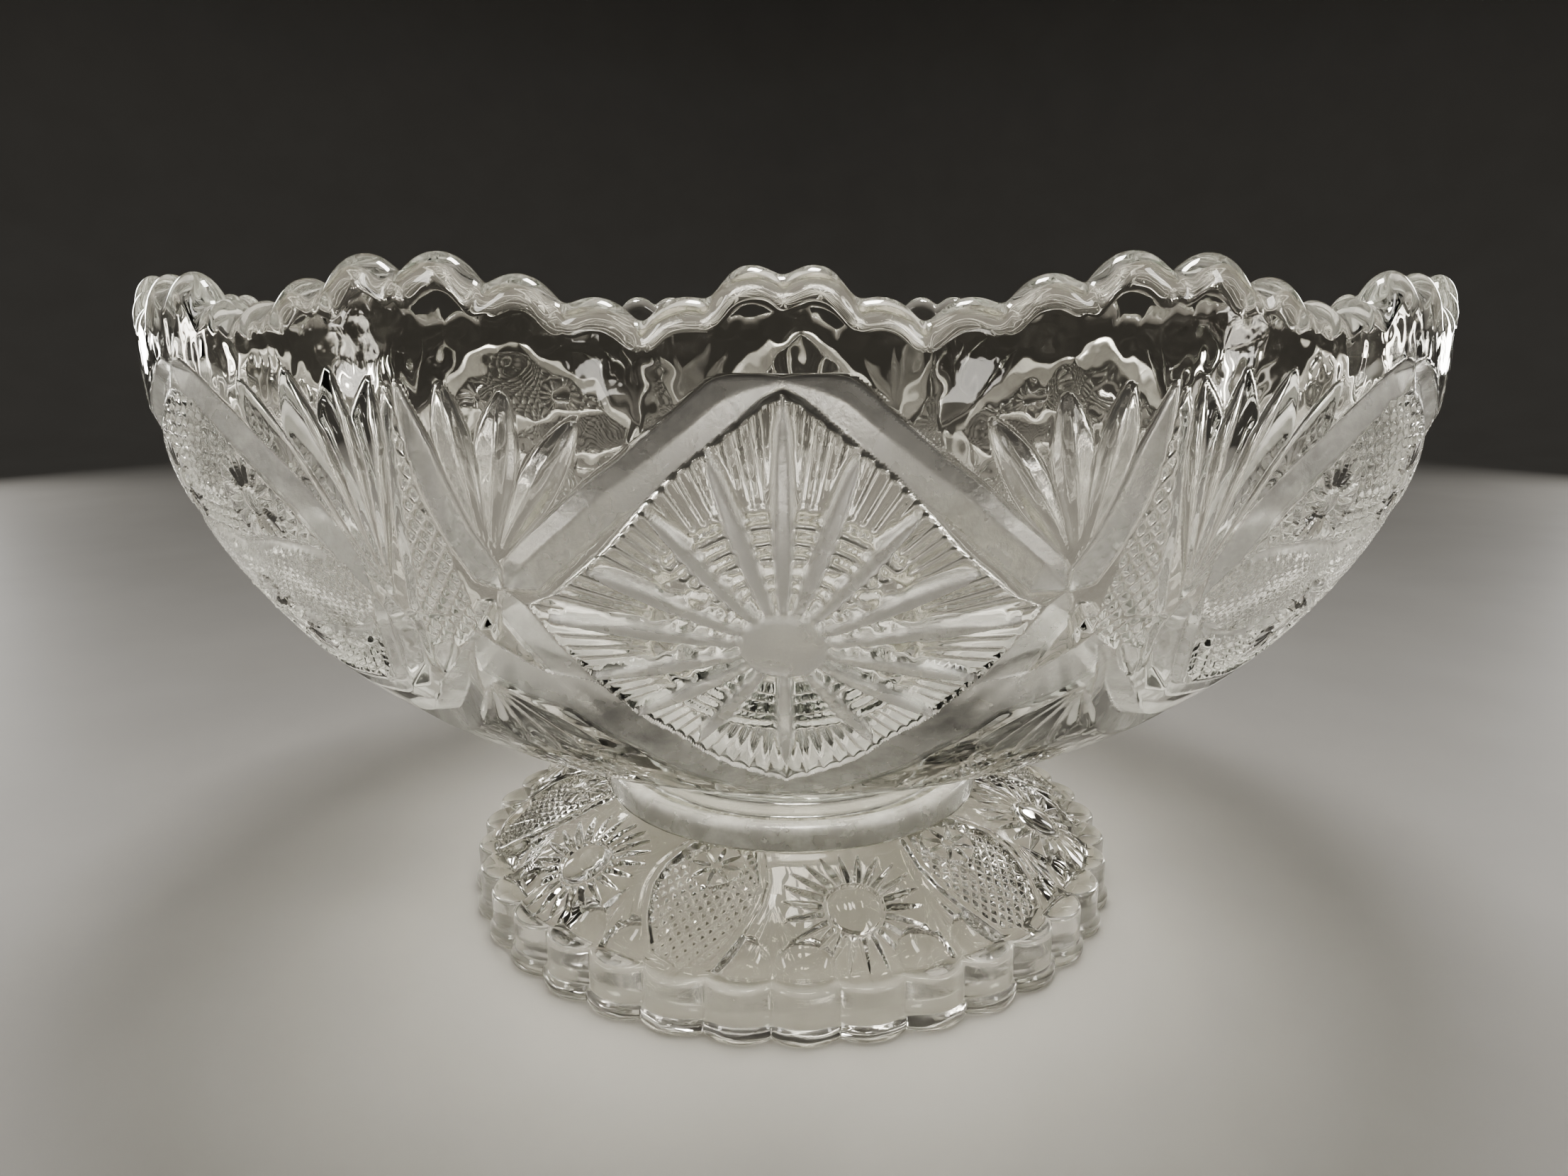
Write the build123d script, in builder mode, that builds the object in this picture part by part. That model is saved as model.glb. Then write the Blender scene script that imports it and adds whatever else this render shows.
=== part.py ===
"""Pressed-glass punch bowl on its own low stand.

Millimetres, +Z up. The origin is the centre of the face that the stand rests on. The bowl's foot
stands in a shallow seat on top of the stand, so the two pieces share one axis and lift apart.
"""

import os
from math import acos, cos, degrees, radians, sin, sqrt

from build123d import *

# ---- driving dimensions ----------------------------------------------------------------------
# Bowl. The wall's outer and inner curves are quarter ellipses, with an upright band above them.
bowl_radius = 166.0  # widest part of the wall, outside
bowl_depth = 122.0  # from the widest part down to the lowest point of the outer curve
wall = 8.0  # glass at the widest part
floor_thickness = 11.0  # glass at the bottom, between the two curves
rim_rise = 16.5  # tops of the highest crests above the widest part
foot_radius = 51.5
foot_height = 13.0
foot_step = 1.5  # how far the foot stands out from the wall that it carries
foot_recess_radius = 40.0  # hollow under the foot, which leaves a ring to stand on
foot_recess_depth = 4.0

# Rim. An eighth of it, from the middle of the narrow lobe to the middle of the next but one, is
# ten rounded crests: (degrees from the narrow lobe's middle, top below the highest crest).
crests = [
    (1.6, 2.5),
    (5.0, 7.0),
    (10.0, 7.0),
    (14.4, 3.5),
    (19.2, 0.0),
    (24.2, 0.0),
    (29.0, 3.5),
    (33.2, 7.0),
    (37.5, 6.5),
    (42.5, 1.5),
]
eighth_turn = 45.0
rim_cut = 23.0  # height of the band that holds every crest, more than the deepest gap
crest_fullness = 0.58  # radius of a crest's top as a share of its width
rim_trim = 1.0  # glass cut off the top of even the highest crests

# Stand
stand_radius = 99.5  # tips of the scallops
stand_height = 37.0  # top of the collar
skirt_height = 14.0
skirt_setback = 2.5  # ledge between the skirt's cusps and the dome
flange_height = 4.0  # lower band of the skirt
flange_step = 1.2  # how far that band stands out from the skirt above it
scallops = 36
scallop_radius = 12.0
stand_turn = 2.4  # degrees from the middle of the bowl's narrow lobe to a cusp of the skirt
dome_wall = 8.0
dome_bulge = 3.0  # rise of the dome's curve over a straight slope
collar_width = 5.5
collar_height = 7.0
seat_depth = 3.0
seat_clearance = 0.5  # gap round the bowl's foot in the seat
rest_width = 9.0  # glass that touches the table, measured in from the tips

edge_round = 1.2  # fire-polished edges
collar_round = 2.5

# ---- derived places --------------------------------------------------------------------------
seat_z = stand_height - seat_depth
seat_radius = foot_radius + seat_clearance
collar_radius = seat_radius + collar_width

foot_top_z = seat_z + foot_height
wall_foot_radius = foot_radius - foot_step
wall_z = foot_top_z + bowl_depth * sqrt(1 - (wall_foot_radius / bowl_radius) ** 2)
rim_z = wall_z + rim_rise
blank_z = rim_z + rim_trim  # top of the plain rim, before the gaps between crests are cut
lip_z = blank_z - wall / 2  # the plain rim's edge is a full round
inner_radius = bowl_radius - wall
inner_depth = bowl_depth - floor_thickness

band_width = 4 * wall  # reaches well past the wall on both sides

scallop_centre = stand_radius - scallop_radius
half_scallop = radians(180 / scallops)
skirt_cusp_radius = scallop_centre * cos(half_scallop) + sqrt(
    (scallop_radius - flange_step) ** 2 - (scallop_centre * sin(half_scallop)) ** 2
)
dome_radius = skirt_cusp_radius - skirt_setback
dome_top_z = stand_height - collar_height
hollow_radius = stand_radius - rest_width

foot_angle = degrees(acos(wall_foot_radius / bowl_radius))  # along the outer curve, to the foot


def crest_ring():
    """Angle, drop and top radius of every crest round the rim."""
    half = crests + [(2 * eighth_turn - angle, drop) for angle, drop in reversed(crests)]
    angles = [angle for angle, _ in half]
    before = [angles[-1] - 2 * eighth_turn] + angles[:-1]
    after = angles[1:] + [angles[0] + 2 * eighth_turn]
    ring = []
    for quarter in range(4):
        for (angle, drop), low, high in zip(half, before, after):
            width = radians((high - low) / 2) * bowl_radius
            ring.append((angle + 2 * eighth_turn * quarter, drop, width * crest_fullness))
    return ring


# ---- bowl ------------------------------------------------------------------------------------
# What the rim's edge lacks between its crests: a band around the rim, less a post under each crest.
with BuildPart() as rim_gaps:
    with BuildSketch(Plane.XZ):
        with Locations((bowl_radius - wall / 2, rim_z)):
            Rectangle(band_width, 2 * rim_cut)
    revolve(axis=Axis.Z)
    for angle, drop, radius in crest_ring():
        across = Plane.XZ.rotated((0, 0, angle))
        with BuildSketch(across.offset(bowl_radius - wall / 2 - band_width)):
            with Locations((0, rim_z - drop - radius)):
                Circle(radius)
                Rectangle(2 * radius, 2 * rim_cut, align=(Align.CENTER, Align.MAX))
    extrude(amount=2 * band_width, mode=Mode.SUBTRACT)

with BuildPart() as bowl:
    with BuildSketch(Plane.XZ):
        with BuildLine():
            outer = EllipticalCenterArc(
                (0, wall_z),
                bowl_radius,
                bowl_depth,
                start_angle=-foot_angle,
                arc_size=foot_angle,
            )
            inner = EllipticalCenterArc(
                (0, wall_z),
                inner_radius,
                inner_depth,
                start_angle=-90,
                arc_size=90,
            )
            Line(outer @ 1, (bowl_radius, lip_z))
            ThreePointArc((bowl_radius, lip_z), (bowl_radius - wall / 2, blank_z), (inner_radius, lip_z))
            Line((inner_radius, lip_z), inner @ 1)
            Polyline(
                outer @ 0,
                (foot_radius, foot_top_z - foot_step),
                (foot_radius, seat_z),
                (foot_recess_radius, seat_z),
                (foot_recess_radius, seat_z + foot_recess_depth),
                (0, seat_z + foot_recess_depth),
                inner @ 0,
            )
        make_face()
    revolve(axis=Axis.Z)
    foot_edges = bowl.edges().filter_by(GeomType.CIRCLE).filter_by_position(Axis.Z, seat_z, seat_z)
    fillet(foot_edges, edge_round)
    add(rim_gaps.part, mode=Mode.SUBTRACT)

# ---- stand -----------------------------------------------------------------------------------
with BuildPart() as stand:
    # scalloped skirt, with its flange along the table
    for height, setback in ((flange_height, 0), (skirt_height, flange_step)):
        with BuildSketch():
            Circle(scallop_centre)
            with PolarLocations(scallop_centre, scallops, start_angle=stand_turn + 90 + 180 / scallops):
                Circle(scallop_radius - setback)
        extrude(amount=height)
    # dome, collar and the solid under them
    with BuildSketch(Plane.XZ):
        with BuildLine():
            slope = SagittaArc((dome_radius, skirt_height), (collar_radius, dome_top_z), -dome_bulge)
            Polyline(
                slope @ 1,
                (collar_radius, stand_height),
                (seat_radius, stand_height),
                (seat_radius, seat_z),
                (0, seat_z),
                (0, 0),
                (dome_radius, 0),
                slope @ 0,
            )
        make_face()
    revolve(axis=Axis.Z)
    collar_edge = stand.edges().filter_by(GeomType.CIRCLE).filter_by_position(
        Axis.Z, stand_height, stand_height
    )
    fillet(collar_edge.sort_by(SortBy.RADIUS)[-1], collar_round)
    # hollow underneath
    with BuildSketch(Plane.XZ):
        with BuildLine():
            inside = SagittaArc(
                (hollow_radius, flange_height),
                (collar_radius - dome_wall, seat_z - dome_wall),
                -dome_bulge,
            )
            Polyline(
                inside @ 1,
                (0, seat_z - dome_wall),
                (0, 0),
                (hollow_radius, 0),
                inside @ 0,
            )
        make_face()
    revolve(axis=Axis.Z, mode=Mode.SUBTRACT)

# ---- write -----------------------------------------------------------------------------------
os.makedirs("parts", exist_ok=True)
bowl.part.label = "bowl"
stand.part.label = "stand"
for piece in (bowl.part, stand.part):
    export_step(piece, f"parts/{piece.label}.step")
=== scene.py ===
"""Looks for the pressed-glass punch bowl and its stand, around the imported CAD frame.

Each piece is one closed mesh made of rings of points round the vertical axis. The outside of each
is pressed with a pattern: a depth in millimetres, worked out on one sector and mirrored round.
Lengths are millimetres until the points are written, and angles are degrees from the front (-Y),
towards +X. Places in the patterns are (angle, share of PATTERN_UNIT): a height above the table
on the bowl, and a radius on the stand.
"""

import math

import bpy
import numpy as np
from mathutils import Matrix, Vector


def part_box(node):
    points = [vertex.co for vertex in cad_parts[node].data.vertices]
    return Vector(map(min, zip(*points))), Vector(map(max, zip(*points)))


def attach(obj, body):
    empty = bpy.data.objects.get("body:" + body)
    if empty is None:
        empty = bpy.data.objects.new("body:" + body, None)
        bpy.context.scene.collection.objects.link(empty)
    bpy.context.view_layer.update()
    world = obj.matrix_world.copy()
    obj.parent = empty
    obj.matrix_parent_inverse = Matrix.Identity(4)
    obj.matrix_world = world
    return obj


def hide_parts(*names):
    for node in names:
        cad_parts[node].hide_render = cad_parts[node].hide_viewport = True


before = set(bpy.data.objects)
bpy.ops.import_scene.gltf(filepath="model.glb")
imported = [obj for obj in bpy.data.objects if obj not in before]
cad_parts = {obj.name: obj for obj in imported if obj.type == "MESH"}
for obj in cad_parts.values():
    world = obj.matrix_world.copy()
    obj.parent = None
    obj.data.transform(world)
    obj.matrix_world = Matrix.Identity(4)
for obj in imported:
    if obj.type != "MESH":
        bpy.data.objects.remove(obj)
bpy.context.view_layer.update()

MM = 0.001

# ---- shapes shared with the CAD ----------------------------------------------------------------
bowl_low, bowl_high = (np.array(corner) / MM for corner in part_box("bowl"))
stand_high = np.array(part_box("stand")[1]) / MM

BOWL_RADIUS = bowl_high[0]
BOWL_DEPTH = 122.0
WALL = 8.0
FLOOR_THICKNESS = 11.0
RIM_Z = bowl_high[2]
RIM_RISE = 16.5  # tops of the highest crests above the widest part of the wall
WALL_Z = RIM_Z - RIM_RISE
SEAT_Z = bowl_low[2]
FOOT_RADIUS = 51.5
FOOT_HEIGHT = 13.0
FOOT_STEP = 1.5  # how far the foot stands out from the wall that it carries
FOOT_TOP_Z = SEAT_Z + FOOT_HEIGHT
WALL_FOOT_RADIUS = FOOT_RADIUS - FOOT_STEP
FOOT_RECESS_RADIUS = 40.0
FOOT_RECESS_DEPTH = 4.0
CRESTS = [  # middle of each crest in degrees, and how far its top lies under the highest
    (1.6, 2.5),
    (5.0, 7.0),
    (10.0, 7.0),
    (14.4, 3.5),
    (19.2, 0.0),
    (24.2, 0.0),
    (29.0, 3.5),
    (33.2, 7.0),
    (37.5, 6.5),
    (42.5, 1.5),
]
CREST_FULLNESS = 0.58  # radius of a crest's top as a share of its width
STAND_HEIGHT = stand_high[2]
SCALLOPS = 36
SCALLOP_RADIUS = 12.0
SCALLOP_CENTRE = 87.5  # radius of the circle that the scallops' centres lie on
FLANGE_STEP = 1.2  # how far the flange stands out from the skirt above it
COLLAR_RADIUS = 57.5
COLLAR_HEIGHT = 7.0
SEAT_RADIUS = 52.0
DOME_TOP_Z = STAND_HEIGHT - COLLAR_HEIGHT
SKIRT_HEIGHT = 14.0
DOME_RADIUS = 92.3  # the skirt's cusps, less the ledge above them
DOME_WALL = 8.0
HOLLOW_RADIUS = 90.5
PATTERN_UNIT = 165.0  # heights in the bowl's pattern, and radii in the stand's, are shares of this

# ---- meshes from rings -------------------------------------------------------------------------


def ring(radius, height, angles):
    """Points round the axis; radius and height are numbers or one value per angle."""
    turn = np.radians(angles)
    points = np.empty((len(turn), 3))
    points[:, 0] = radius * np.sin(turn)
    points[:, 1] = -radius * np.cos(turn)
    points[:, 2] = height
    return points


def faces_between(low, high, count_low, count_high):
    """Quads between rings of one count, or triangles where one ring has twice the other's points."""
    if count_low == count_high:
        i = np.arange(count_low)
        j = (i + 1) % count_low
        return [np.stack([low + i, low + j, high + j, high + i], 1)]
    if count_low == 2 * count_high:
        i = np.arange(count_high)
        j = (i + 1) % count_high
        first = low + 2 * i
        middle = first + 1
        last = low + (2 * i + 2) % count_low
        return [
            np.stack([first, middle, high + i], 1),
            np.stack([middle, high + j, high + i], 1),
            np.stack([middle, last, high + j], 1),
        ]
    i = np.arange(count_low)
    j = (i + 1) % count_low
    first = high + 2 * i
    middle = first + 1
    last = high + (2 * i + 2) % count_high
    return [
        np.stack([low + i, middle, first], 1),
        np.stack([low + i, low + j, middle], 1),
        np.stack([low + j, last, middle], 1),
    ]


def closed_mesh(name, rings, frost, bottom_z, top_z):
    """Closed mesh through the rings, from the middle of its underside out, up, in and down again."""
    counts = [len(points) for points in rings]
    starts = np.concatenate([[0], np.cumsum(counts)])
    total = starts[-1]
    faces = []
    for k in range(len(rings) - 1):
        faces += faces_between(starts[k], starts[k + 1], counts[k], counts[k + 1])
    i = np.arange(counts[0])
    faces.append(np.stack([np.full_like(i, total), (i + 1) % counts[0], i], 1))
    i = np.arange(counts[-1])
    last = starts[-2]
    faces.append(np.stack([np.full_like(i, total + 1), last + i, last + (i + 1) % counts[-1]], 1))

    ends = np.array([[0, 0, bottom_z], [0, 0, top_z]])
    points = np.concatenate(rings + [ends]) * MM
    corners = np.concatenate([block.ravel() for block in faces])
    sizes = np.concatenate([np.full(len(block), block.shape[1]) for block in faces])
    mesh = bpy.data.meshes.new(name)
    mesh.vertices.add(len(points))
    mesh.vertices.foreach_set("co", points.astype(np.float32).ravel())
    mesh.loops.add(len(corners))
    mesh.loops.foreach_set("vertex_index", corners.astype(np.int32))
    mesh.polygons.add(len(sizes))
    firsts = np.concatenate([[0], np.cumsum(sizes)[:-1]])
    mesh.polygons.foreach_set("loop_start", firsts.astype(np.int32))
    mesh.update(calc_edges=True)
    mesh.validate()
    mesh.shade_smooth()
    layer = mesh.attributes.new("frost", "FLOAT", "POINT")
    layer.data.foreach_set("value", np.concatenate(frost + [[0.0, 0.0]]).astype(np.float32))
    piece = bpy.data.objects.new(name, mesh)
    bpy.context.scene.collection.objects.link(piece)
    return piece


# ---- pattern tools -----------------------------------------------------------------------------

MM_IN_A_DEGREE = 2.4  # rough size, to share out the length of a line
NARROWEST = 0.12  # of a cut's full size, at an end where it tapers
FROST_DEPTH = 0.4  # satin fades in over this depth of a cut
DIAGONAL = 1.414  # of a square, for its side


def curve(points, parts=4):
    """The same points with a smooth run of extra points between them."""
    knots = np.array(points, float)
    padded = np.vstack([2 * knots[0] - knots[1], knots, 2 * knots[-1] - knots[-2]])
    smooth = []
    for before, start, end, after in zip(padded, padded[1:], padded[2:], padded[3:]):
        for share in np.arange(parts) / parts:
            bend = 2 * before - 5 * start + 4 * end - after
            twist = 3 * start - before - 3 * end + after
            smooth.append(start + 0.5 * share * ((end - before) + share * (bend + share * twist)))
    smooth.append(knots[-1])
    return [tuple(point) for point in smooth]


class Pattern:
    """A depth in mm pressed into a surface, on a grid of angles by distances up the surface."""

    def __init__(self, angles, distances, radii, place):
        self.angle = np.asarray(angles)[None, :]
        self.up = np.asarray(distances)[:, None]
        self.degree = np.radians(np.asarray(radii))[:, None]  # mm in one degree, row by row
        self.place = place  # distance up the surface for a share of the pattern unit
        self.depth = np.zeros((len(distances), len(angles)))
        self.frost = np.zeros_like(self.depth)

    def along(self, points):
        """Distance from a line of (angle, height) points, share of the way along it, and side."""
        placed = [(angle, self.place(height)) for angle, height in points]
        pairs = list(zip(placed, placed[1:]))
        lengths = [math.hypot((b[0] - a[0]) * MM_IN_A_DEGREE, b[1] - a[1]) for a, b in pairs]
        nearest = np.full(self.depth.shape, 1e9)
        share = np.zeros_like(nearest)
        side = np.ones_like(nearest)
        done = 0.0
        for (a, b), length in zip(pairs, lengths):
            x = (self.angle - a[0]) * self.degree
            y = self.up - a[1]
            run = (b[0] - a[0]) * self.degree
            rise = b[1] - a[1]
            passed = np.clip((x * run + y * rise) / (run**2 + rise**2 + 1e-9), 0, 1)
            away = np.hypot(x - passed * run, y - passed * rise)
            closer = away < nearest - 1e-6
            nearest = np.where(closer, away, nearest)
            share = np.where(closer, (done + passed * length) / sum(lengths), share)
            side = np.where(closer, np.sign(run * y - rise * x), side)
            done += length
        return nearest, share, side

    def cut(self, value, frost=0.0):
        """Cuts down to value wherever that is deeper than the pattern so far."""
        deeper = (value > self.depth) & (value > 0)
        self.depth = np.where(deeper, value, self.depth)
        self.frost = np.where(deeper, frost * np.clip(value / FROST_DEPTH, 0, 1), self.frost)

    def mitre(self, points, depth, left, right, ends=(0.0, 0.0), frost=0.0):
        """V cut along a line, with its own half width on each side, narrowing at its two ends."""
        away, share, side = self.along(points)
        half = np.where(side > 0, left, right)
        start, stop = ends
        taper = np.ones_like(share)
        if start:
            taper = np.minimum(taper, NARROWEST + share / start)
        if stop:
            taper = np.minimum(taper, NARROWEST + (1 - share) / stop)
        taper = np.clip(taper, 0, 1)
        self.cut(depth * taper * (1 - away / (half * taper)), frost)

    def leaf(self, base, tip, half, depth, fullest=0.6, sharp=False, frost=0.0, ridge=0.0):
        """Scooped or V leaf from base to tip, widest at a share of the way, with a ridge along it."""
        away, share, _ = self.along([base, tip])
        bend = math.log(0.5) / math.log(fullest)
        width = half * np.sin(np.pi * np.clip(share, 1e-4, 1) ** bend) ** 0.8 + 0.05
        out = away / width
        shape = 1 - out if sharp else 1 - out**2
        value = depth * np.clip(width / half, 0.25, 1) * shape
        value = value - ridge * np.clip(1 - away / (0.28 * width + 0.15), 0, 1) * (out < 1)
        self.cut(value, frost)

    def inside(self, upper, lower):
        """0 outside to 1 inside, between two lines that each have one height per angle."""
        slope = 0.8  # mm from the edge to full depth
        top = np.interp(self.angle, *zip(*[(a, self.place(h)) for a, h in upper]))
        bottom = np.interp(self.angle, *zip(*[(a, self.place(h)) for a, h in lower]))
        within = (self.up < top) & (self.up > bottom)
        within &= (self.angle >= max(upper[0][0], lower[0][0])) & (self.angle <= upper[-1][0] + 0.2)
        edge = np.minimum(self.along(upper)[0], self.along(lower)[0])
        return np.where(within, np.clip(edge / slope, 0, 1), 0)

    def angle_of(self, points):
        """Angle of a line of (angle, height) points at each row, for points that climb."""
        return np.interp(self.up, *zip(*[(self.place(height), angle) for angle, height in points]))

    def hobnail(self, centre, pitch, depth):
        """Depth of fine grooves that cross and leave rows of little pyramids, a little taller than wide."""
        x = (self.angle - centre[0]) * self.degree
        y = (self.up - self.place(centre[1])) * 0.82
        first = np.abs(((x + y) / (DIAGONAL * pitch)) % 1.0 - 0.5) * 2
        second = np.abs(((x - y) / (DIAGONAL * pitch)) % 1.0 - 0.5) * 2
        return depth * np.maximum(first, second)

    def star(self, centre, points, inner, outer, depth):
        """Ring of narrow V rays round a point, as (depth, distance from the point)."""
        x = (self.angle - centre[0]) * self.degree
        y = self.up - self.place(centre[1])
        away = np.hypot(x, y)
        share = np.degrees(np.arctan2(x, y)) / 360 * points
        across = np.abs((share % 1.0) - 0.5) * 2  # 1 in the middle of a ray
        reach = np.clip((outer - away) / (outer - inner), 0, 1)
        ray = np.clip((across - 1 + reach) / np.maximum(reach, 0.05), 0, 1)
        return np.where((away > inner) & (away < outer), depth * ray, 0), away


# ---- the bowl's pattern ------------------------------------------------------------------------

foot_turn = math.acos(WALL_FOOT_RADIUS / BOWL_RADIUS)
fine_turn = np.linspace(foot_turn, 0, 4001)
fine_radius = BOWL_RADIUS * np.cos(fine_turn)
fine_height = WALL_Z - BOWL_DEPTH * np.sin(fine_turn)
fine_up = np.concatenate([[0], np.cumsum(np.hypot(np.diff(fine_radius), np.diff(fine_height)))])
WALL_LENGTH = fine_up[-1]

GRID = 0.45  # mm between rows
SECTOR_COLUMNS = 300  # in 45 degrees of the bowl
wall_rows = np.linspace(0, WALL_LENGTH, int(WALL_LENGTH / GRID) + 1)
row_turn = np.interp(wall_rows, fine_up, fine_turn)
row_radius = BOWL_RADIUS * np.cos(row_turn)
row_height = WALL_Z - BOWL_DEPTH * np.sin(row_turn)


def up_the_wall(share):
    """Distance up the outside of the wall to a height that is a share of the pattern unit."""
    return float(np.interp(share * PATTERN_UNIT, fine_height, fine_up))


CORNER = (17.3, 0.763)  # side corner of the big diamond
HUB = (0, 0.706)
UPPER_EDGE = [(0, 0.966), (1.1, 0.958), (3.7, 0.921), (6, 0.89), (7.5, 0.862), (10.1, 0.813)]
UPPER_EDGE += [(12.2, 0.785), (14, 0.76), (16, 0.745), (17.2, 0.755)]
LOWER_CREASE = [(0, 0.45), (4.2, 0.487), (7.2, 0.521), (8.8, 0.556), (11.2, 0.59), (12.8, 0.622)]
LOWER_CREASE += [(14.2, 0.658), (15.3, 0.694), (16.2, 0.728), CORNER]
SPOKE_TIPS = [(0, 0.962), (4.1, 0.915), (7.7, 0.855), (11.7, 0.79), (15.4, 0.732)]
SPOKE_TIPS += [(13.6, 0.655), (11.3, 0.6), (7.0, 0.56), (0, 0.512)]
FIELD = 1.3  # how far the ground of the big diamond lies below the wall's own surface
HUB_RADIUS = 7.6
SPOKE_SPACING = 22.5  # degrees
RUNG_PLACES = (12.5, 15.0, 19.0, 21.5, 24.5)  # radius of each ladder rung round the hub
LADDER_RADIUS = 27.0  # the ladders end here, where the flutes are nearly full
FLUTE_START = 23.0  # radius where the flutes begin
FLUTE_FADE = 5.0  # mm from there to their full depth


def wheel(pattern):
    """The big diamond's ground with flutes, ladder rungs and beads, and its raised spokes and hub."""
    ground = pattern.inside(UPPER_EDGE, LOWER_CREASE)
    x = pattern.angle * pattern.degree
    y = pattern.up - pattern.place(HUB[1])
    away = np.hypot(x, y)
    bearing = np.degrees(np.arctan2(x, y))
    across = np.abs((bearing / SPOKE_SPACING) % 1.0 - 0.5) * 2  # 0 between spokes, 1 on one

    # flutes outside, five to a spoke, and ladders over and under the hub
    flute = np.abs((bearing / SPOKE_SPACING * 5) % 1.0 - 0.5) * 2
    flutes = 0.75 * (1 - flute**2) * np.clip((away - FLUTE_START) / FLUTE_FADE, 0, 1)
    rungs = np.zeros_like(away)
    for place in RUNG_PLACES:
        rungs = np.maximum(rungs, np.clip(1.7 - np.abs(away - place) / 0.75, 0, 1))
    upright = np.clip((np.abs(np.abs(bearing) - 90) - 38) / 4, 0, 1)
    rungs = rungs * upright * (away < LADDER_RADIUS)

    # beads and teeth at the two sides of the hub
    beads = np.zeros_like(away)
    tangent = across * away * math.radians(SPOKE_SPACING / 2)
    for place, size in ((17.0, 2.1), (11.5, 1.5)):
        beads = np.maximum(beads, 1 - np.hypot(away - place, tangent) ** 2 / size**2)
    beads = np.sqrt(np.clip(beads, 0, 1)) * (1 - upright)
    teeth = np.clip(1 - np.abs(away - 22.5) / 2.6 - across * 0.9, 0, 1) * (1 - upright) * 1.6
    low = FIELD + 0.2 * (away < LADDER_RADIUS) + flutes
    low = low - 1.4 * rungs - 1.6 * beads - 0.7 * np.clip(teeth, 0, 1)

    # spokes and hub, which stand up from the ground
    raised = np.zeros_like(away)
    for tip in SPOKE_TIPS:
        gap, share, _ = pattern.along([HUB, tip])
        width = 0.8 + 1.3 * np.sin(np.pi * np.clip(share, 0, 1) ** 1.25)
        width = width * np.clip((1 - share) * 9, 0.05, 1)
        raised = np.maximum(raised, np.clip(1.25 * (1 - (gap / width) ** 2), 0, 1))
    low = low - (low + 0.5) * raised
    frost = 0.95 * raised
    dome = np.clip(1 - (away / HUB_RADIUS) ** 2, 0, 1)
    low = np.where(away < HUB_RADIUS, 0.5 - 2.1 * np.sqrt(dome), low)
    rim = np.clip(1 - np.abs(away - HUB_RADIUS - 0.4) / 0.9, 0, 1)
    low = low + 0.5 * rim * (away > HUB_RADIUS)
    frost = np.where(away < HUB_RADIUS, 1.0, frost)

    pattern.depth = np.where(ground > 0, low * ground, pattern.depth)
    pattern.frost = np.where(ground > 0, frost, pattern.frost)


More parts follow.
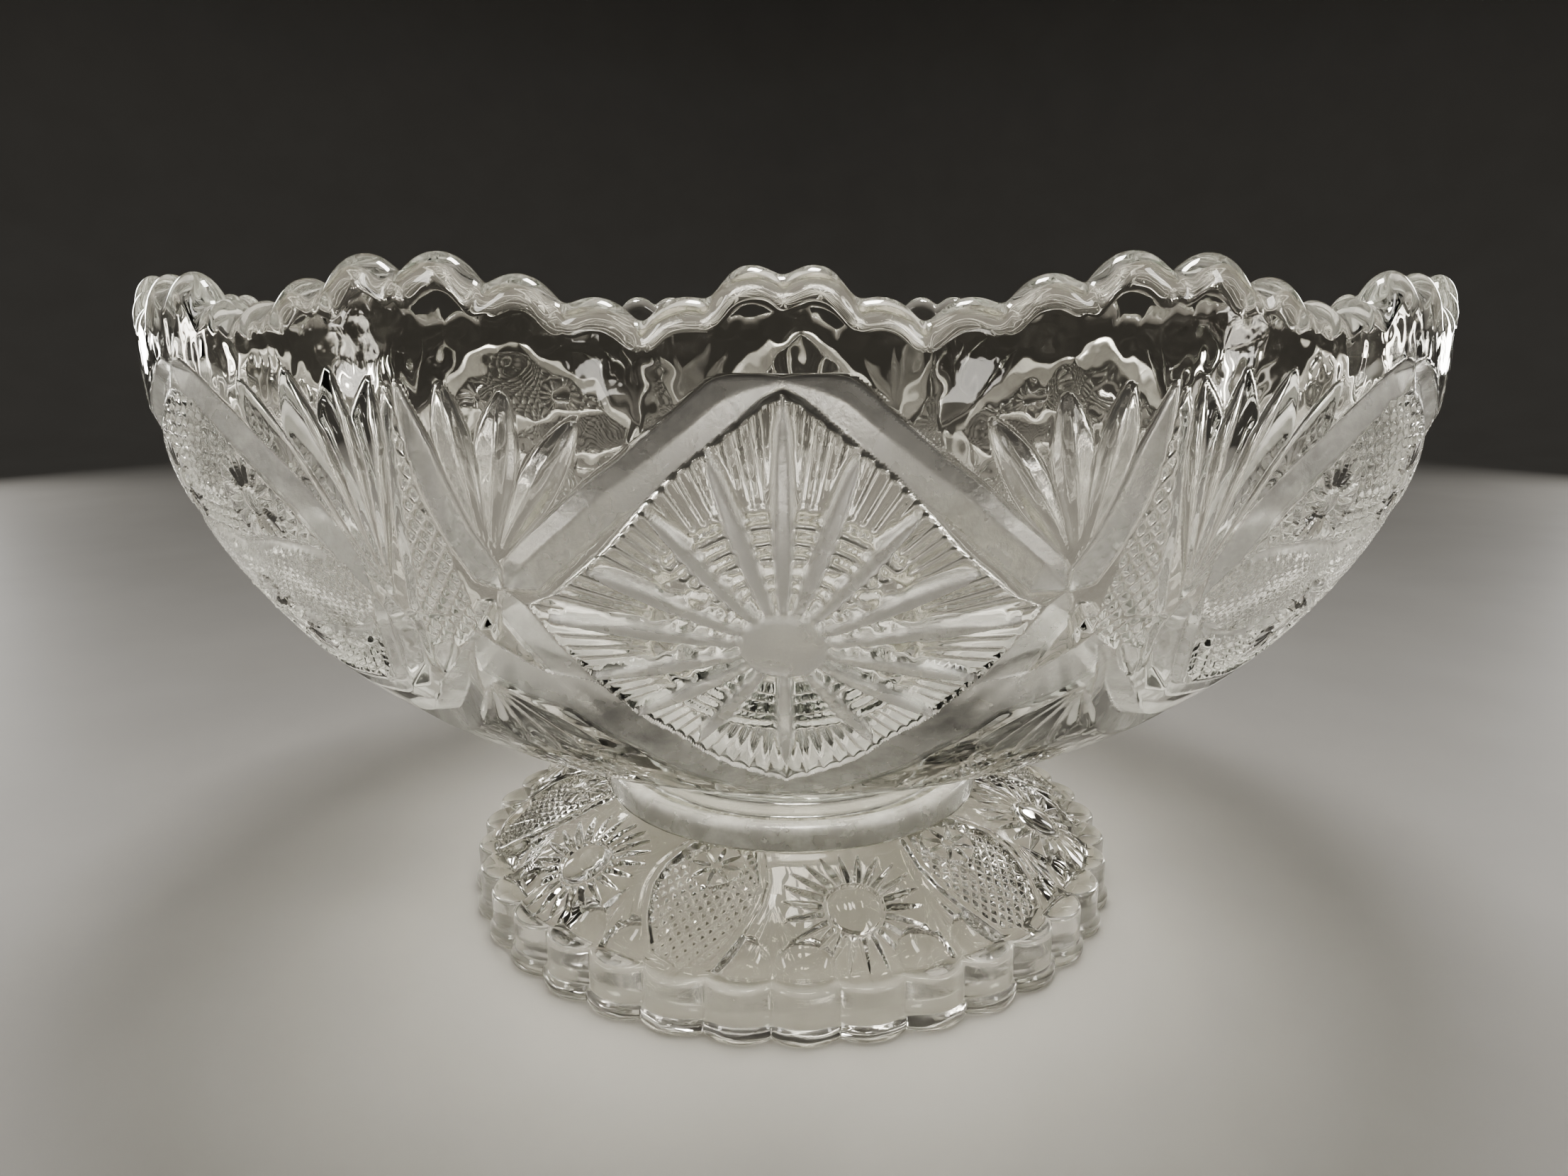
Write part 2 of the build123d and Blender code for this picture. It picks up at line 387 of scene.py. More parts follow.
def press_bowl():
    """The whole pattern of one eighth of the bowl, from the big diamond's middle to the small one's."""
    angles = np.linspace(0, 45, SECTOR_COLUMNS + 1)
    bowl = Pattern(angles, wall_rows, row_radius, up_the_wall)
    wheel(bowl)

    # mitres of the big diamond, and the broad facets under it
    band = [(0, 0.975), (2.8, 0.96), (5.2, 0.927), (7.9, 0.89), (10.1, 0.863), (12.6, 0.828)]
    band += [(15, 0.796), CORNER]
    bowl.mitre(curve(band), 2.3, 3.3, 5.0, ends=(0.16, 0.1), frost=0.8)
    bowl.mitre(curve(LOWER_CREASE[4:]), 1.9, 1.4, 5.6, ends=(0.1, 0.12), frost=0.6)
    facet = [(0, 0.447), (4.2, 0.484), (7.2, 0.518), (8.8, 0.552), (11.2, 0.586)]
    facet += [(13.7, 0.632), (15.5, 0.644), (17.7, 0.658), (20, 0.687), (21, 0.712)]
    bowl.mitre(curve(facet), 2.8, 1.2, 10.5, ends=(0.0, 0.1), frost=0.75)

    # two small facets under the corner of the big diamond
    bowl.mitre([(17.8, 0.748), (19.5, 0.694)], 0.7, 0.9, 0.9, ends=(0.3, 0.3))
    bowl.mitre([(18.2, 0.75), (20.3, 0.71)], 1.3, 2.2, 2.2, ends=(0.3, 0.3))

    # five leaves in the fork under the wide facet
    fork = [((16.2, 0.535), 2.2), ((19.0, 0.51), 2.6), ((22.2, 0.5), 3.0)]
    fork += [((25.4, 0.51), 2.6), ((28.4, 0.535), 2.2)]
    for tip, half in fork:
        bowl.leaf((22.2, 0.628), tip, half, 1.4, 0.6, sharp=True, frost=0.3, ridge=0.3)

    # long cut low on the wall, and the deep facet beside the small diamond
    low_cut = [(20.8, 0.7), (23.6, 0.655), (26.4, 0.602), (31, 0.548), (36, 0.512), (45, 0.485)]
    bowl.mitre(curve(low_cut), 2.8, 4.6, 5.2, ends=(0.35, 0.0), frost=0.6)
    deep_facet = [(27.0, 0.735), (27.5, 0.69), (28.6, 0.65), (30.6, 0.617), (33, 0.59)]
    bowl.mitre(deep_facet, 3.4, 4.2, 3.2, ends=(0.2, 0.25), frost=0.2)

    # ring of leaves over the foot
    for angle in np.arange(0.0, 46.0, 9.0):
        bowl.leaf((angle, 0.29), (angle, 0.405), 4.6, 1.6, 0.5)

    # fan beside the big diamond, and its tall mitre
    for tip, half in (((10.8, 0.94), 3.0), ((14.8, 0.965), 3.6), ((18.6, 0.972), 3.4)):
        bowl.leaf((17.4, 0.785), tip, half, 2.0, 0.62, sharp=True, frost=0.25, ridge=0.5)
    tall_cut = [CORNER, (18.9, 0.82), (20.1, 0.885), (21.4, 0.968)]
    bowl.mitre(tall_cut, 2.2, 2.6, 3.8, ends=(0.1, 0.35), frost=0.45)

    # wedge of hobnails between the tall mitre and a ridge
    ridge = [(22.1, 0.968), (22.8, 0.86), (24, 0.765), (25.4, 0.71), (26.9, 0.64)]
    bowl.mitre(ridge, 1.0, 1.1, 1.1, ends=(0.1, 0.15), frost=0.2)
    wedge = [(23.4, 0.68), (20.6, 0.705), (20.2, 0.75), (20.4, 0.81), (21.3, 0.85), (22.0, 0.95)]
    field = (bowl.angle > bowl.angle_of(wedge)) & (bowl.angle < bowl.angle_of(ridge[::-1]))
    field &= (bowl.up > up_the_wall(0.68)) & (bowl.up < up_the_wall(0.955))
    bowl.cut(np.where(field, bowl.hobnail((22, 0.8), 2.3, 1.1), 0), 0.05)

    # broad scooped leaves of the next fan
    fan = [((23.4, 0.972), 4.0), ((26.4, 0.98), 4.6), ((30.2, 0.978), 5.2), ((34.8, 0.965), 4.6)]
    for tip, half in fan:
        bowl.leaf((26.4, 0.74), tip, half, 2.6, 0.62)

    # kite between the crossing cuts, and the small facet over it
    bowl.mitre([(22.8, 0.7), (26.4, 0.632)], 1.6, 2.6, 2.2, ends=(0.4, 0.3), frost=0.45)
    bowl.mitre([(21.6, 0.718), (26.6, 0.712)], 1.3, 1.8, 2.6, ends=(0.3, 0.2), frost=0.1)

    # mitres of the small diamond on the mirror line
    upper = [(28.5, 0.735), (29.3, 0.79), (31, 0.838), (33, 0.872), (35.5, 0.904), (38, 0.93)]
    upper += [(41, 0.955), (45, 0.978)]
    bowl.mitre(curve(upper), 2.2, 2.8, 5.0, ends=(0.12, 0.08), frost=0.7)
    lower = [(28.5, 0.735), (29.6, 0.69), (31, 0.65), (33, 0.612), (36, 0.58), (45, 0.558)]
    bowl.mitre(curve(lower), 1.7, 1.6, 2.6, ends=(0.1, 0.0), frost=0.5)

    # hobnails that fill it, finer in a lens-shaped field at the side
    top = [(28.9, 0.742), (31, 0.785), (33.2, 0.828), (36, 0.872), (38.5, 0.902), (42, 0.94)]
    top += [(45, 0.95)]
    bottom = [(28.9, 0.728), (31, 0.668), (33.4, 0.62), (36.5, 0.592), (45, 0.572)]
    inner = bowl.inside(top, bottom)
    texture = bowl.hobnail((45, 0.8), 2.7, 1.2)
    lens = bowl.along([(30.5, 0.722), (40.5, 0.722)])[0] < 7.5
    texture = np.where(lens, bowl.hobnail((36, 0.72), 1.6, 0.55) + 0.15, texture)
    bowl.cut(np.where(inner > 0, texture * inner, 0), 0.05)

    # its stars, each with a button in the middle, its arcs and its small leaves
    for centre, button_radius, star_radius in (((38.0, 0.83), 2.8, 9.6), ((45, 0.655), 3.6, 11.5)):
        rays, away = bowl.star(centre, 16, button_radius, star_radius, 2.2)
        button = 0.9 - 1.3 * np.sqrt(np.clip(1 - (away / button_radius) ** 2, 0, 1))
        star = np.where(away < button_radius, button, 0.15 + rays)
        bowl.depth = np.where((away < star_radius) & (inner > 0), star, bowl.depth)
    upper_arc = [(30.4, 0.765), (33.5, 0.775), (37, 0.776), (40.5, 0.77), (45, 0.758)]
    bowl.mitre(curve(upper_arc), 2.4, 2.4, 2.4, ends=(0.2, 0.0), frost=0.7)
    lower_arc = [(30.0, 0.71), (33, 0.672), (37, 0.66), (41, 0.672), (45, 0.7)]
    bowl.mitre(curve(lower_arc), 2.4, 2.2, 2.2, ends=(0.2, 0.0), frost=0.7)
    for tip in ((31.6, 0.655), (34.0, 0.625), (37.5, 0.608)):
        bowl.leaf((36.2, 0.665), tip, 2.2, 2.0, 0.6, sharp=True)
    return bowl


bowl_press = press_bowl()

# ---- the bowl's mesh ---------------------------------------------------------------------------

BOWL_COLUMNS = 8 * SECTOR_COLUMNS
QUARTER_COLUMNS = 2 * SECTOR_COLUMNS
FULL_COLUMNS_RADIUS = 88.0
FOOT_SATIN = 0.2


def folded(count):
    """Sector column that each of count columns round the bowl copies, with every other sector mirrored."""
    step = BOWL_COLUMNS // count
    column = (np.arange(count) * step) % QUARTER_COLUMNS
    return np.where(column > SECTOR_COLUMNS, QUARTER_COLUMNS - column, column)


def round_angles(count, start=0.0):
    return start + np.arange(count) * 360.0 / count


def rim_tops():
    """Height of the rim's crest line over each column, from the crests' circles, softened."""
    half = CRESTS + [(90 - angle, drop) for angle, drop in reversed(CRESTS)]
    angles = round_angles(BOWL_COLUMNS)[:QUARTER_COLUMNS]
    places = [angle for angle, _ in half]
    before = [places[-1] - 90] + places[:-1]
    after = places[1:] + [places[0] + 90]
    tops = np.zeros(QUARTER_COLUMNS)
    for (angle, drop), low, high in zip(half, before, after):
        radius = math.radians((high - low) / 2) * BOWL_RADIUS * CREST_FULLNESS
        for lap in (-90, 0, 90):
            x = np.radians(angles - angle - lap) * BOWL_RADIUS
            circle = RIM_Z - drop - radius + np.sqrt(np.clip(radius**2 - x**2, 0, None))
            tops = np.maximum(tops, np.where(np.abs(x) < radius, circle, 0))
    spread = 3.0  # columns
    reach = np.arange(-12, 13)  # columns, four spreads each way
    weights = np.exp(-0.5 * (reach / spread) ** 2)
    smooth = sum(weight * np.roll(tops, k) for weight, k in zip(weights / weights.sum(), reach))
    return np.tile(smooth, 4)


def build_bowl():
    """The bowl's mesh: foot, pressed wall, rim and inside."""
    rings = []
    frost = []

    def add(radius, height, count, satin=0.0):
        rings.append(ring(radius, height, round_angles(count)))
        frost.append(np.full(count, satin))

    # foot, from the middle of its recess outward
    recess_z = SEAT_Z + FOOT_RECESS_DEPTH
    for radius, height in (
        (12, recess_z),
        (24, recess_z),
        (36, recess_z),
        (FOOT_RECESS_RADIUS - 1.2, recess_z - 0.1),
        (FOOT_RECESS_RADIUS - 0.35, recess_z - 0.5),
        (FOOT_RECESS_RADIUS, recess_z - 1.4),
        (FOOT_RECESS_RADIUS, SEAT_Z + 1.2),
        (FOOT_RECESS_RADIUS + 0.35, SEAT_Z + 0.35),
        (FOOT_RECESS_RADIUS + 1.2, SEAT_Z),
        (FOOT_RADIUS - 1.2, SEAT_Z),
        (FOOT_RADIUS - 0.6, SEAT_Z + 0.16),
        (FOOT_RADIUS - 0.16, SEAT_Z + 0.6),
        (FOOT_RADIUS, SEAT_Z + 1.2),
    ):
        add(radius, height, 300)
    for radius, height in (
        (FOOT_RADIUS, SEAT_Z + 3),
        (FOOT_RADIUS, FOOT_TOP_Z - 3.2),
        (FOOT_RADIUS - 0.1, FOOT_TOP_Z - 2.2),
        (FOOT_RADIUS - 0.5, FOOT_TOP_Z - 1.5),
        (FOOT_RADIUS - 1.2, FOOT_TOP_Z - 0.9),
        (WALL_FOOT_RADIUS - 0.1, FOOT_TOP_Z - 0.4),
    ):
        add(radius, height, 600, FOOT_SATIN)

    # pressed wall, with half the columns near the foot, where the pattern fades in over 2 mm
    for k, (turn, radius, height) in enumerate(zip(row_turn, row_radius, row_height)):
        count = BOWL_COLUMNS if radius > FULL_COLUMNS_RADIUS else BOWL_COLUMNS // 2
        columns = folded(count)
        press = bowl_press.depth[k, columns] * min(1.0, wall_rows[k] / 2)
        out = BOWL_DEPTH * math.cos(turn)
        down = BOWL_RADIUS * math.sin(turn)
        size = math.hypot(out, down)
        rings.append(ring(radius - press * out / size, height + press * down / size, round_angles(count)))
        frost.append(bowl_press.frost[k, columns])

    # rim: upright band, round lip, upright band inside
    tops = rim_tops()
    lip = WALL / 2
    crown = 4.4  # rise of the lip's round over its two edges
    edge_turn = math.radians(22)  # the round leaves each face of the wall at a crease
    lip_reach = lip / math.cos(edge_turn)
    lip_rise = crown / (1 - math.sin(edge_turn))
    for share in np.linspace(0.12, 1, 9):
        add(BOWL_RADIUS, WALL_Z + (tops - crown - WALL_Z) * share, BOWL_COLUMNS)
    for turn in np.linspace(edge_turn, math.pi - edge_turn, 17)[1:-1]:
        radius = BOWL_RADIUS - lip + lip_reach * math.cos(turn)
        add(radius, tops - lip_rise * (1 - math.sin(turn)), BOWL_COLUMNS)
    for share in np.linspace(1, 0.12, 6):
        add(BOWL_RADIUS - WALL, WALL_Z + (tops - crown - WALL_Z) * share, BOWL_COLUMNS)

    # inside of the wall, down to the middle of the floor
    inner_radius = BOWL_RADIUS - WALL
    inner_depth = BOWL_DEPTH - FLOOR_THICKNESS
    for degrees in range(90):
        turn = math.radians(degrees)
        count = BOWL_COLUMNS // 2 if degrees == 0 else BOWL_COLUMNS // 4
        if degrees > 75:
            count = BOWL_COLUMNS // 8
        add(inner_radius * math.cos(turn), WALL_Z - inner_depth * math.sin(turn), count)
    return closed_mesh("bowl_glass_body", rings, frost, recess_z, WALL_Z - inner_depth)


# ---- the stand's pattern -----------------------------------------------------------------------

STAND_COLUMNS = 2160
STAND_SECTOR = 30  # degrees from the middle of a star to the middle of a vesica
STAND_SECTOR_COLUMNS = STAND_COLUMNS * STAND_SECTOR // 360
STAR_TURN = 12.6  # degrees from the front to the first star
DOME_BULGE = 3.0  # rise of the dome's curve over a straight slope
STAR_RADIUS = 19.0
BUTTON_RADIUS = 7.6
THUMBPRINT_RADIUS = 7.8
FLANGE_SATIN = 0.12
SKIRT_SATIN = 0.35
LEDGE_SATIN = 0.2
SEAT_SATIN = 0.5


def dome_point(share):
    """Radius and height on the dome's curve, from its outer edge (0) to the collar (1)."""
    run = COLLAR_RADIUS - DOME_RADIUS
    rise = DOME_TOP_Z - SKIRT_HEIGHT
    length = math.hypot(run, rise)
    lift = 4 * DOME_BULGE * share * (1 - share)
    return (
        DOME_RADIUS + run * share + lift * rise / length,
        SKIRT_HEIGHT + rise * share - lift * run / length,
    )


DOME_ROWS = 120
dome_shares = np.linspace(0, 1, DOME_ROWS + 1)
dome_radii, dome_heights = dome_point(dome_shares)
dome_up = np.concatenate([[0], np.cumsum(np.hypot(np.diff(dome_radii), np.diff(dome_heights)))])


def up_the_dome(radius_share):
    """Distance up the dome to a radius that is a share of the pattern unit."""
    return float(np.interp(-radius_share * PATTERN_UNIT, -dome_radii, dome_up))


def press_stand():
    """The whole pattern of one twelfth of the stand, from a star's middle to a vesica's."""
    angles = np.linspace(0, STAND_SECTOR, STAND_SECTOR_COLUMNS + 1)
    dome = Pattern(angles, dome_up, dome_radii, up_the_dome)

    # thumbprints along the dome's edge, two between a star and a vesica
    for angle in (10.0, 20.0):
        x = (dome.angle - angle) * dome.degree
        away = np.hypot(x, dome.up - 3.0)
        dome.cut(4.0 * np.sqrt(np.clip(1 - (away / THUMBPRINT_RADIUS) ** 2, 0, 1)))

    # star with its button
    rays, away = dome.star((0, 0.47), 22, BUTTON_RADIUS + 0.6, STAR_RADIUS, 2.2)
    dome.cut(rays)
    button = 1.2 - 2.4 * np.sqrt(np.clip(1 - (away / (BUTTON_RADIUS - 0.4)) ** 2, 0, 1))
    dome.depth = np.where(away < BUTTON_RADIUS, button, dome.depth)

    # fan of three leaves between star and vesica
    for tip in ((11.6, 0.556), (15.2, 0.566), (18.8, 0.556)):
        dome.leaf((15.2, 0.46), tip, 2.2, 1.8, 0.6, sharp=True, ridge=0.5)

    # vesica: cross-hatched inside a raised rib
    edge = [(28.5, 0.588), (24.5, 0.55), (21, 0.505), (18.8, 0.46), (18.2, 0.42), (19.2, 0.385)]
    edge += [(20.5, 0.35)]
    away, _, _ = dome.along(edge)
    within = dome.angle > dome.angle_of(edge)
    hatch = dome.hobnail((30, 0.46), 2.3, 1.2) + 0.35
    dome.depth = np.where(within, hatch * np.clip(away / 1.5, 0, 1), dome.depth)
    rays, centre_away = dome.star((30, 0.395), 8, 1.6, 7.5, 1.4)
    dome.depth = np.where(within & (centre_away < 7.5), 0.2 + rays, dome.depth)
    dome.mitre(edge, 1.2, 2.6, 2.6)
    rib = np.clip(1.25 * (1 - (away / 1.6) ** 2), 0, 1)
    dome.depth = dome.depth - (dome.depth + 0.7) * rib
    fade = np.clip(0.4 + dome.up / 1.5, 0, 1) * np.clip((dome_up[-1] - dome.up) / 1.5, 0, 1)
    dome.depth = dome.depth * fade
    dome.frost = dome.frost * fade
    return dome


stand_press = press_stand()


def scalloped(radius, count):
    """Radius of the scalloped outline over each column, for scallops of one radius."""
    span = 360 / SCALLOPS
    off = np.radians((round_angles(count) + span / 2) % span - span / 2)
    return SCALLOP_CENTRE * np.cos(off) + np.sqrt(radius**2 - (SCALLOP_CENTRE * np.sin(off)) ** 2)


def build_stand():
    """The stand's mesh: hollow, flange, skirt, pressed dome, collar and seat."""
    rings = []
    frost = []

    def add(radius, height, count, satin=0.0):
        rings.append(ring(radius, height, round_angles(count, STAR_TURN)))
        frost.append(np.full(count, satin))

    # hollow underneath, from the middle of its ceiling down to the edge that rests on the table
    ceiling = SEAT_Z - DOME_WALL
    ceiling_radius = 49.5
    hollow_edge_z = 4.0  # foot of the ceiling's curve
    for radius in (16, 32, 47):
        add(radius, ceiling, 270)
    run = HOLLOW_RADIUS - ceiling_radius
    rise = hollow_edge_z - ceiling
    length = math.hypot(run, rise)
    for share in np.linspace(0, 1, 24):
        lift = 4 * DOME_BULGE * share * (1 - share)
        radius = ceiling_radius + run * share - lift * rise / length
        add(radius, ceiling + rise * share + lift * run / length, 540)
    add(HOLLOW_RADIUS, 1.0, 540)
    add(HOLLOW_RADIUS + 0.3, 0.3, 1080)
    add(HOLLOW_RADIUS + 1.0, 0.0, 1080)

    # flange, step and scalloped skirt
    flange = scalloped(SCALLOP_RADIUS, STAND_COLUMNS)
    skirt = scalloped(SCALLOP_RADIUS - FLANGE_STEP, STAND_COLUMNS)
    for inset, height in (
        (1.2, 0.0),
        (0.6, 0.16),
        (0.16, 0.6),
        (0.0, 1.2),
        (0.0, 2.4),
        (0.1, 3.2),
        (0.5, 3.7),
    ):
        add(flange - inset, height, STAND_COLUMNS, FLANGE_SATIN)
    for inset, height in (
        (-0.3, 4.2),
        (0.0, 4.8),
        (0.0, 6.5),
        (0.0, 8.5),
        (0.0, 10.5),
        (0.0, 12.6),
        (0.12, 13.2),
    ):
        add(skirt - inset, height, STAND_COLUMNS, SKIRT_SATIN)
    for inset, height in ((0.45, 13.7), (1.0, 13.95), (1.6, 14.0)):
        add(skirt - inset, height, STAND_COLUMNS, LEDGE_SATIN)
    edge = skirt - 1.6
    add(DOME_RADIUS + (edge - DOME_RADIUS) * 0.5, SKIRT_HEIGHT, STAND_COLUMNS)

    # pressed dome
    column = np.arange(STAND_COLUMNS) % (2 * STAND_SECTOR_COLUMNS)
    column = np.where(column > STAND_SECTOR_COLUMNS, 2 * STAND_SECTOR_COLUMNS - column, column)
    outs = np.gradient(dome_heights)
    ups = -np.gradient(dome_radii)
    sizes = np.hypot(outs, ups)
    for k in range(1, DOME_ROWS + 1):
        press = stand_press.depth[k, column]
        radius = dome_radii[k] - press * outs[k] / sizes[k]
        height = dome_heights[k] - press * ups[k] / sizes[k]
        rings.append(ring(radius, height, round_angles(STAND_COLUMNS, STAR_TURN)))
        frost.append(stand_press.frost[k, column])

    # collar and seat
    for radius, height, count in (
        (COLLAR_RADIUS, DOME_TOP_Z + 0.6, 1080),
        (COLLAR_RADIUS, DOME_TOP_Z + 2.4, 540),
        (COLLAR_RADIUS, STAND_HEIGHT - 2.5, 540),
        (COLLAR_RADIUS - 0.35, STAND_HEIGHT - 1.3, 540),
        (COLLAR_RADIUS - 1.2, STAND_HEIGHT - 0.4, 540),
        (COLLAR_RADIUS - 2.5, STAND_HEIGHT, 540),
        (SEAT_RADIUS + 0.8, STAND_HEIGHT, 540),
        (SEAT_RADIUS + 0.2, STAND_HEIGHT - 0.2, 540),
        (SEAT_RADIUS, STAND_HEIGHT - 0.8, 540),
        (SEAT_RADIUS, SEAT_Z, 540),
        (35, SEAT_Z, 270),
        (15, SEAT_Z, 270),
    ):
        add(radius, height, count, SEAT_SATIN)
    return closed_mesh("stand_glass_body", rings, frost, ceiling, SEAT_Z)


# ---- glass -------------------------------------------------------------------------------------


def glass_material(name, tint):
    """Pressed glass: polished ground, satin cuts, faint ripples and a tint that deepens inside."""
    material = bpy.data.materials.new(name)
    material.use_nodes = True
    nodes = material.node_tree.nodes
    links = material.node_tree.links
    nodes.clear()

    def node(kind, **inputs):
        made = nodes.new(kind)
        for key, value in inputs.items():
            made.inputs[key.replace("_", " ")].default_value = value
        return made

    def math_node(operation, first, second):
        made = nodes.new("ShaderNodeMath")
        made.operation = operation
        for socket, value in zip(made.inputs, (first, second)):
            if isinstance(value, (int, float)):
                socket.default_value = value
            else:
                links.new(value, socket)
        return made.outputs[0]

    place = nodes.new("ShaderNodeTexCoord").outputs["Object"]
    frost = nodes.new("ShaderNodeAttribute")
    frost.attribute_name = "frost"

    # satin left by the mould in the cuts, in patches, over the fire polish of the rest
    patches = node("ShaderNodeTexNoise", Scale=90.0, Detail=4.0, Roughness=0.6)
    links.new(place, patches.inputs["Vector"])
    satin = math_node("MULTIPLY", frost.outputs["Fac"], patches.outputs["Fac"])
    rough = math_node("MULTIPLY_ADD", satin, 0.6)
    rough.node.inputs[2].default_value = 0.02  # roughness of the fire polish

    # ripples about a centimetre wide, and the fine stipple of the mould where the glass is satin
    ripple = node("ShaderNodeTexNoise", Scale=70.0, Detail=2.0, Roughness=0.5)
    links.new(place, ripple.inputs["Vector"])
    stipple = node("ShaderNodeTexNoise", Scale=900.0, Detail=3.0, Roughness=0.6)
    links.new(place, stipple.inputs["Vector"])
    grain = math_node("MULTIPLY", stipple.outputs["Fac"], frost.outputs["Fac"])
    ripple_bump = node("ShaderNodeBump", Strength=0.35, Distance=0.0012)
    links.new(ripple.outputs["Fac"], ripple_bump.inputs["Height"])
    stipple_bump = node("ShaderNodeBump", Strength=0.5, Distance=0.0003)
    links.new(grain, stipple_bump.inputs["Height"])
    links.new(ripple_bump.outputs["Normal"], stipple_bump.inputs["Normal"])

    glass = nodes.new("ShaderNodeBsdfPrincipled")
    glass.inputs["Base Color"].default_value = (1.0, 0.985, 0.95, 1.0)
    glass.inputs["IOR"].default_value = 1.52
    links.new(rough, glass.inputs["Roughness"])
    clearness = math_node("MULTIPLY_ADD", satin, -1.1)
    clearness.node.inputs[2].default_value = 1.0
    links.new(clearness, glass.inputs["Transmission Weight"])
    links.new(stipple_bump.outputs["Normal"], glass.inputs["Normal"])

    # lamps shine through to the floor, and lose about half their light at each surface
    clear = node("ShaderNodeBsdfTransparent", Color=(0.52, 0.52, 0.5, 1.0))
    path = nodes.new("ShaderNodeLightPath")
    mix = nodes.new("ShaderNodeMixShader")
    links.new(path.outputs["Is Shadow Ray"], mix.inputs["Fac"])
    links.new(glass.outputs["BSDF"], mix.inputs[1])
    links.new(clear.outputs["BSDF"], mix.inputs[2])

    depth = node("ShaderNodeVolumeAbsorption", Color=tint, Density=4.0)
    out = nodes.new("ShaderNodeOutputMaterial")
    links.new(mix.outputs["Shader"], out.inputs["Surface"])
    links.new(depth.outputs["Volume"], out.inputs["Volume"])
    return material


bowl_piece = build_bowl()
bowl_piece.data.materials.append(glass_material("pressed_glass_bowl", (0.86, 0.92, 0.84, 1.0)))
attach(bowl_piece, "bowl")
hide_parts("bowl")

stand_piece = build_stand()
stand_piece.data.materials.append(glass_material("pressed_glass_stand", (0.88, 0.92, 0.84, 1.0)))
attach(stand_piece, "stand")
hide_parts("stand")

# ---- studio ------------------------------------------------------------------------------------


def floor_material():
    """Pale warm grey with a faint cloudy grain."""
    material = bpy.data.materials.new("pale_floor")
    material.use_nodes = True
    nodes = material.node_tree.nodes
    links = material.node_tree.links
    shader = nodes["Principled BSDF"]
    place = nodes.new("ShaderNodeTexCoord").outputs["Object"]
    grain = nodes.new("ShaderNodeTexNoise")
    grain.inputs["Scale"].default_value = 14.0
    grain.inputs["Detail"].default_value = 6.0
    links.new(place, grain.inputs["Vector"])
    ramp = nodes.new("ShaderNodeValToRGB")
    ramp.color_ramp.elements[0].color = (0.27, 0.263, 0.25, 1.0)
    ramp.color_ramp.elements[1].color = (0.31, 0.303, 0.29, 1.0)
    links.new(grain.outputs["Fac"], ramp.inputs["Fac"])
    links.new(ramp.outputs["Color"], shader.inputs["Base Color"])
    shader.inputs["Roughness"].default_value = 0.55
    return material


FLOOR_Z = -0.0002  # just under the stand, so that the two faces don't meet
FLAT_RADIUS = 1.3
SWEEP_RADIUS = 0.6  # of the curve from the floor up into the far wall
WALL_TOP_Z = 2.4
SWEEP_TURNS = 96


def build_floor():
    """Round sweep: a flat floor that curves up into a far wall all round."""
    profile = [(0.6, 0.0), (1.0, 0.0), (FLAT_RADIUS, 0.0)]
    for lean in range(10, 91, 10):
        turn = math.radians(lean)
        radius = FLAT_RADIUS + SWEEP_RADIUS * math.sin(turn)
        profile.append((radius, SWEEP_RADIUS - SWEEP_RADIUS * math.cos(turn)))
    profile.append((FLAT_RADIUS + SWEEP_RADIUS, WALL_TOP_Z))
    points = [(0.0, 0.0, FLOOR_Z)]
    faces = []
    for level, (radius, height) in enumerate(profile):
        for k in range(SWEEP_TURNS):
            turn = 2 * math.pi * k / SWEEP_TURNS
            points.append((radius * math.cos(turn), radius * math.sin(turn), height + FLOOR_Z))
            after = (k + 1) % SWEEP_TURNS
            if level == 0:
                faces.append((0, 1 + k, 1 + after))
            else:
                low = 1 + (level - 1) * SWEEP_TURNS
                high = low + SWEEP_TURNS
                faces.append((low + k, high + k, high + after, low + after))
    mesh = bpy.data.meshes.new("floor")
    mesh.from_pydata(points, [], faces)
    mesh.shade_smooth()
    sweep = bpy.data.objects.new("floor", mesh)
    bpy.context.scene.collection.objects.link(sweep)
    return sweep


floor = build_floor()
floor.data.materials.append(floor_material())


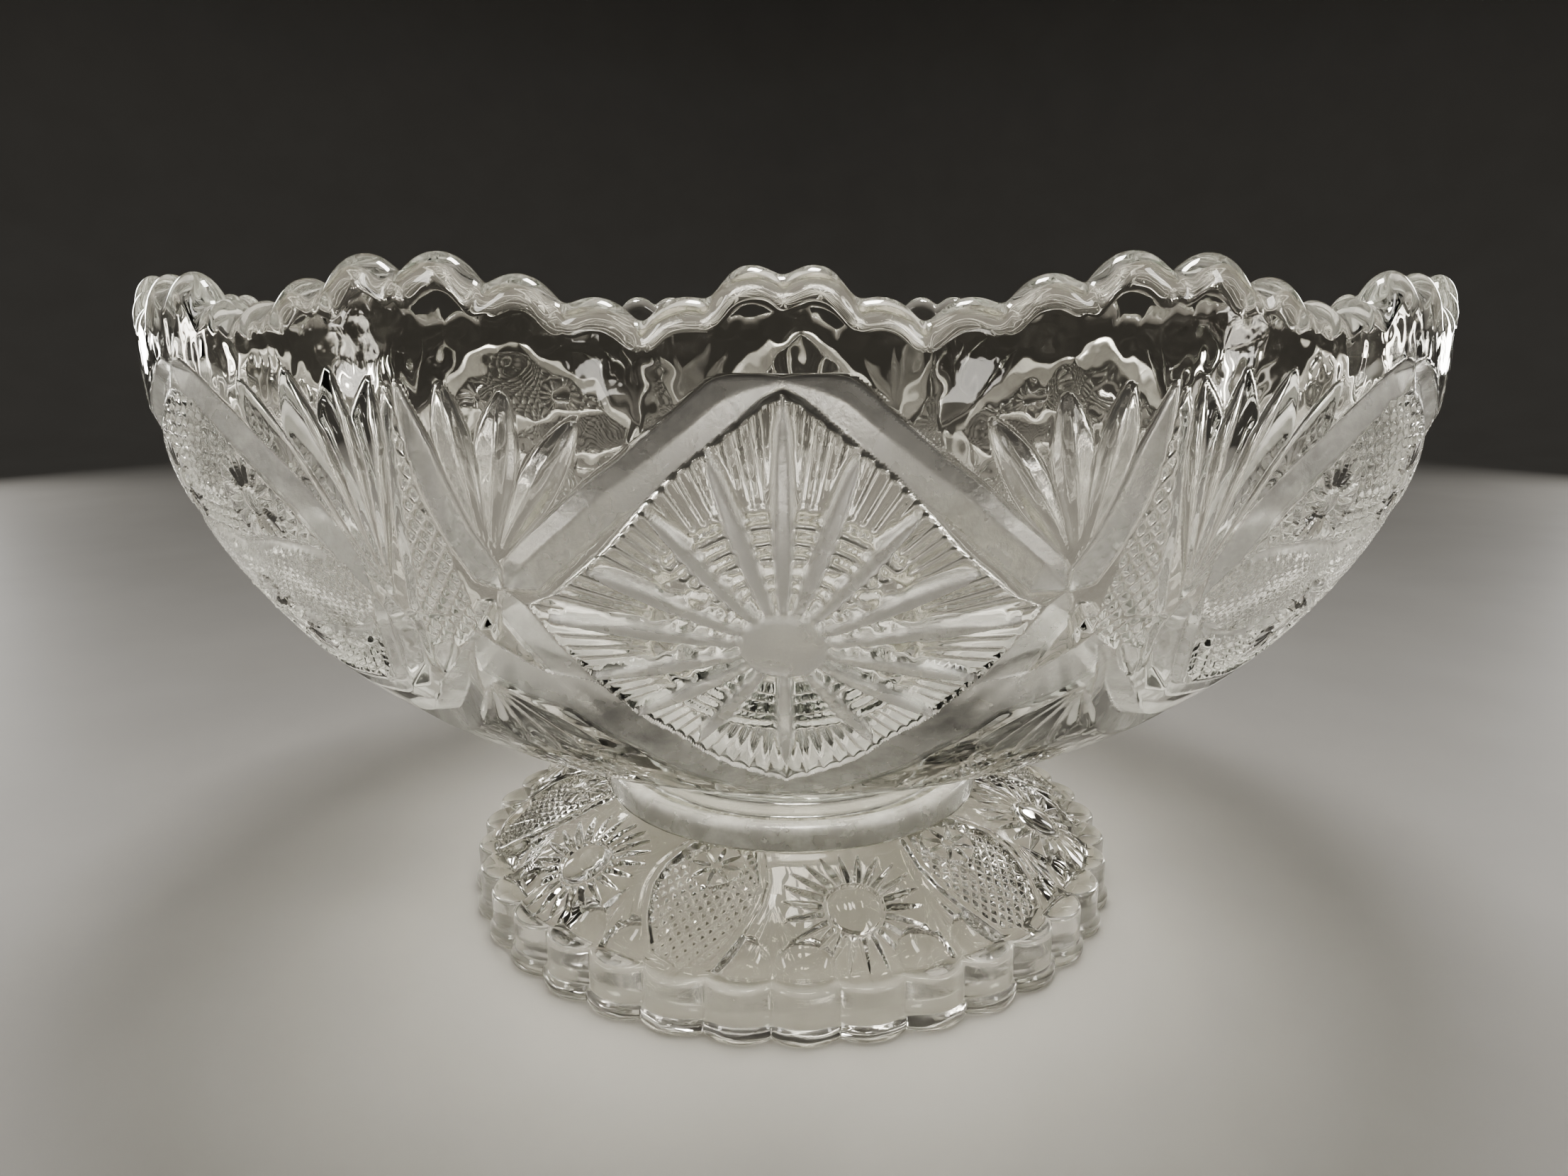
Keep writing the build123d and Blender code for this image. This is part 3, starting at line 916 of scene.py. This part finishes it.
def area_light(name, width, height, power, place, target):
    """Softbox, width by height in metres, turned to face the target."""
    lamp = bpy.data.lights.new(name, "AREA")
    lamp.energy = power
    lamp.color = (1.0, 0.98, 0.95)
    lamp.shape = "RECTANGLE"
    lamp.size = width
    lamp.size_y = height
    holder = bpy.data.objects.new(name, lamp)
    bpy.context.scene.collection.objects.link(holder)
    holder.location = place
    aim = [b - a for a, b in zip(place, target)]
    across = math.hypot(aim[0], aim[1])
    holder.rotation_euler = (math.atan2(across, -aim[2]), 0, math.atan2(-aim[0], aim[1]))


area_light("key_overhead", 0.25, 0.25, 7.0, (0.02, 0.06, 0.9), (0, 0, 0.08))
area_light("side_left", 0.14, 0.5, 1.8, (-0.8, -0.6, 0.62), (0, 0, 0.12))
area_light("side_right", 0.14, 0.5, 1.8, (0.85, -0.5, 0.6), (0, 0, 0.12))
area_light("edge_left", 0.14, 0.4, 1.6, (-0.95, 0.75, 0.3), (0, 0, 0.1))
area_light("edge_right", 0.14, 0.4, 1.6, (0.95, 0.8, 0.3), (0, 0, 0.1))

world = bpy.data.worlds.new("studio")
bpy.context.scene.world = world
world.use_nodes = True
background = world.node_tree.nodes["Background"]
background.inputs["Color"].default_value = (1.0, 0.98, 0.94, 1.0)
background.inputs["Strength"].default_value = 0.1

# ---- camera at the photograph's angle -----------------------------------------------------------

CAMERA_DISTANCE = 0.326  # from the bowl's axis
CAMERA_HEIGHT = 0.1689
CAMERA_DOWN = 13.68  # degrees under the horizon
CAMERA_ROUND = 0.5  # degrees round the bowl, towards +X
CAMERA_LEFT = 0.437  # degrees left of the axis
camera = bpy.data.objects.new("camera", bpy.data.cameras.new("camera"))
bpy.context.scene.collection.objects.link(camera)
camera.data.sensor_width = 36.0
camera.data.lens = 24.95
camera.data.clip_start = 0.01
camera.data.clip_end = 20.0
camera.location = (
    CAMERA_DISTANCE * math.sin(math.radians(CAMERA_ROUND)),
    -CAMERA_DISTANCE * math.cos(math.radians(CAMERA_ROUND)),
    CAMERA_HEIGHT,
)
camera.rotation_euler = (math.radians(90 - CAMERA_DOWN), 0, math.radians(CAMERA_ROUND + CAMERA_LEFT))
bpy.context.scene.camera = camera

scene = bpy.context.scene
scene.cycles.max_bounces = 10
scene.cycles.transmission_bounces = 10
scene.cycles.glossy_bounces = 8
scene.cycles.transparent_max_bounces = 16
scene.view_settings.view_transform = "AgX"
scene.view_settings.look = "AgX - High Contrast"
